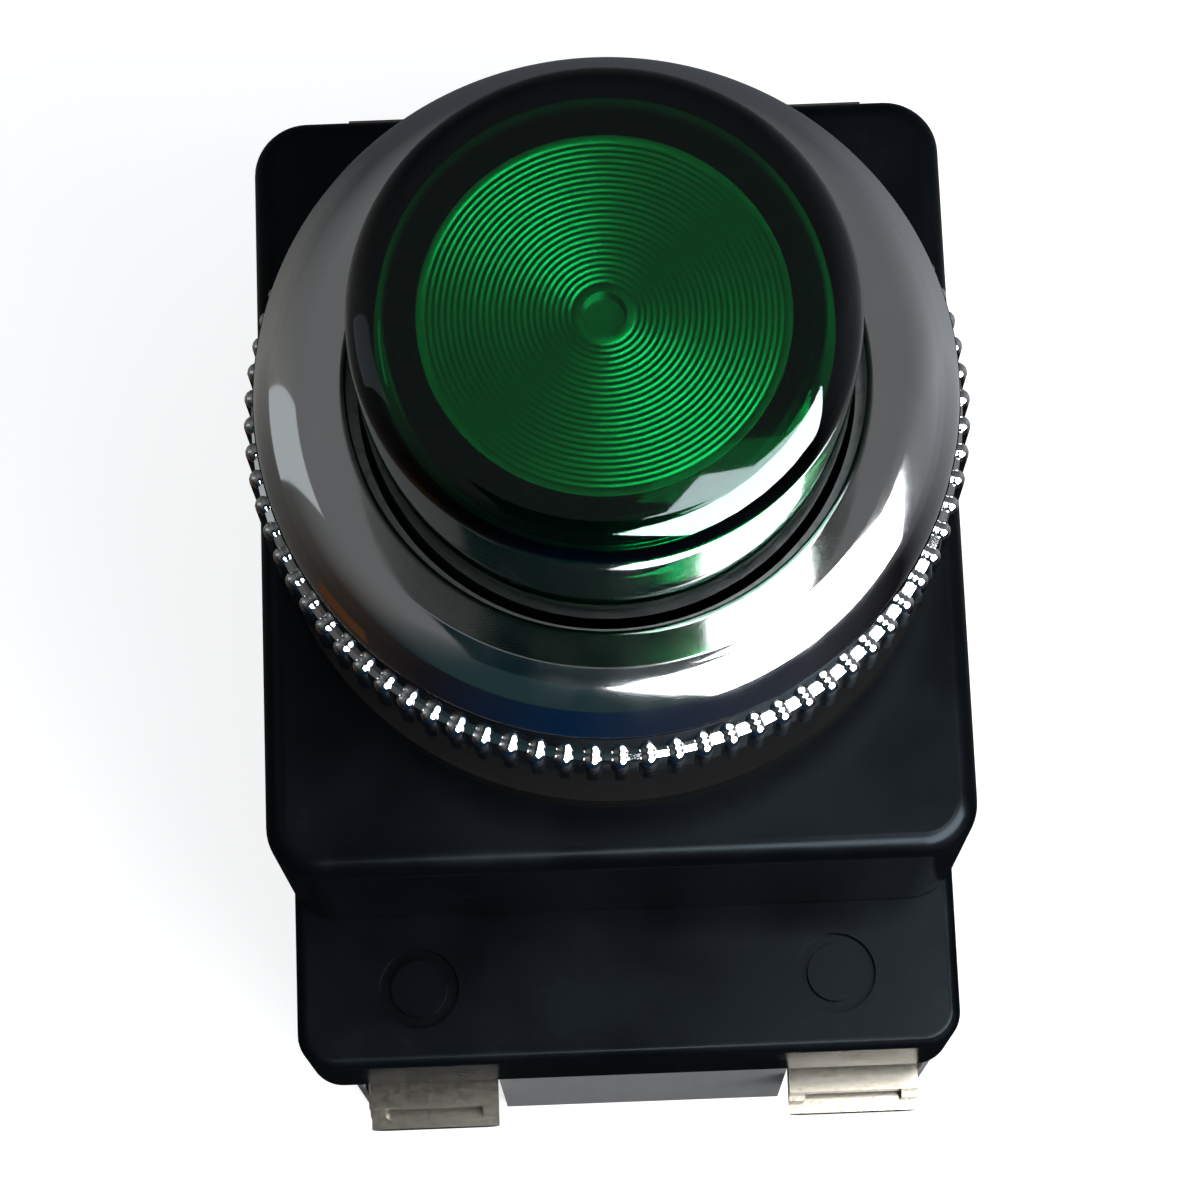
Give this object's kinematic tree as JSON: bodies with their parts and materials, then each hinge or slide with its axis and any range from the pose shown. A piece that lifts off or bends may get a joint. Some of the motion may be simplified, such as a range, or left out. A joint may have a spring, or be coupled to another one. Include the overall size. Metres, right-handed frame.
{
  "type": "illuminated pushbutton switch",
  "caption": "Illuminated momentary pushbutton with a green domed lens, knurled chrome locking ring, black housings and a grey contact block with screw terminals",
  "frame": {"origin": "on the button's axis, at the rear face of the contact block", "axes": "+Z is the way the button faces, +Y is up on the panel as the picture shows it, +X is to the right"},
  "size_m": [0.041, 0.0688, 0.0766],
  "materials": {
    "green_lens": "clear green moulded plastic, polished",
    "marking_plate": "translucent white plate with fine turned rings",
    "holder_plastic": "matt black moulded plastic",
    "cast_metal": "turned die casting with a fine thread",
    "seal_rubber": "soft black rubber",
    "chrome": "bright chrome plate over brass",
    "black_plastic": "semi-gloss black moulding",
    "grey_plastic": "grey moulding with faint draw marks",
    "screw_steel": "bright zinc plated steel",
    "plated_terminal": "speckled nickel plate on pressed strip",
    "contact_brass": "brass with silver contact faces",
    "spring_steel": "hard drawn spring wire",
    "lamp_insulator": "black glass seal of the lamp base",
    "lamp_dome": "milky moulded lamp dome"
  },
  "bodies": {
    "base": {"operator_sleeve": "cast_metal", "wiper_seal": "seal_rubber", "bezel_ring": "chrome", "front_gasket": "seal_rubber", "anti_rotation_washer": "seal_rubber", "front_housing": "black_plastic", "rear_housing": "black_plastic", "housing_screws": "screw_steel", "block_screws": "screw_steel", "contact_block_body": "grey_plastic", "return_spring": "spring_steel", "carriage_spring": "spring_steel", "lamp_socket_body": "grey_plastic", "lamp_socket_shell": "plated_terminal", "lamp_socket_contact": "contact_brass", "lamp_tip": "contact_brass", "lamp_insulator": "lamp_insulator", "lamp_base": "plated_terminal", "lamp_bulb": "lamp_dome", "lamp_terminal_lower": "plated_terminal", "lamp_terminal_upper": "plated_terminal", "lamp_terminal_screws": "screw_steel", "no_terminal_lower": "plated_terminal", "no_clamp_lower": "plated_terminal", "no_screw_lower": "screw_steel", "no_terminal_upper": "plated_terminal", "no_clamp_upper": "plated_terminal", "no_screw_upper": "screw_steel", "nc_terminal_lower": "plated_terminal", "nc_clamp_lower": "plated_terminal", "nc_screw_lower": "screw_steel", "nc_terminal_upper": "plated_terminal", "nc_clamp_upper": "plated_terminal", "nc_screw_upper": "screw_steel"},
    "button": {"lens": "green_lens", "marking_plate": "marking_plate", "lens_holder": "holder_plastic"},
    "carriage": {"contact_carriage": "holder_plastic", "no_contact_spring": "spring_steel", "nc_contact_spring": "spring_steel"},
    "no_bridge": {"no_bridge": "contact_brass"},
    "nc_bridge": {"nc_bridge": "contact_brass"}
  },
  "joints": [
    {"name": "button_travel", "type": "slide", "parent": "base", "child": "button", "axis": [0, 0, -1], "range_m": [0, 0.004], "stiffness_N_per_m": 900, "springref_m": -0.0045, "deforming": ["return_spring"]},
    {"name": "carriage_travel", "type": "slide", "parent": "base", "child": "carriage", "axis": [0, 0, -1], "range_m": [0, 0.004], "stiffness_N_per_m": 200, "springref_m": -0.003, "deforming": ["carriage_spring"]},
    {"name": "no_bridge_travel", "type": "slide", "parent": "base", "child": "no_bridge", "axis": [0, 0, -1], "range_m": [0, 0.0028], "deforming": ["no_contact_spring"]},
    {"name": "nc_bridge_travel", "type": "slide", "parent": "base", "child": "nc_bridge", "axis": [0, 0, -1], "range_m": [0, 0.003], "deforming": ["nc_contact_spring"]}
  ],
  "couplings": [
    {"joint": "carriage_travel", "follows": "button_travel", "ratio": 1},
    {"joint": "no_bridge_travel", "follows": "button_travel", "ratio": 0.7},
    {"joint": "nc_bridge_travel", "follows": "button_travel", "ratio": 0.75}
  ]
}
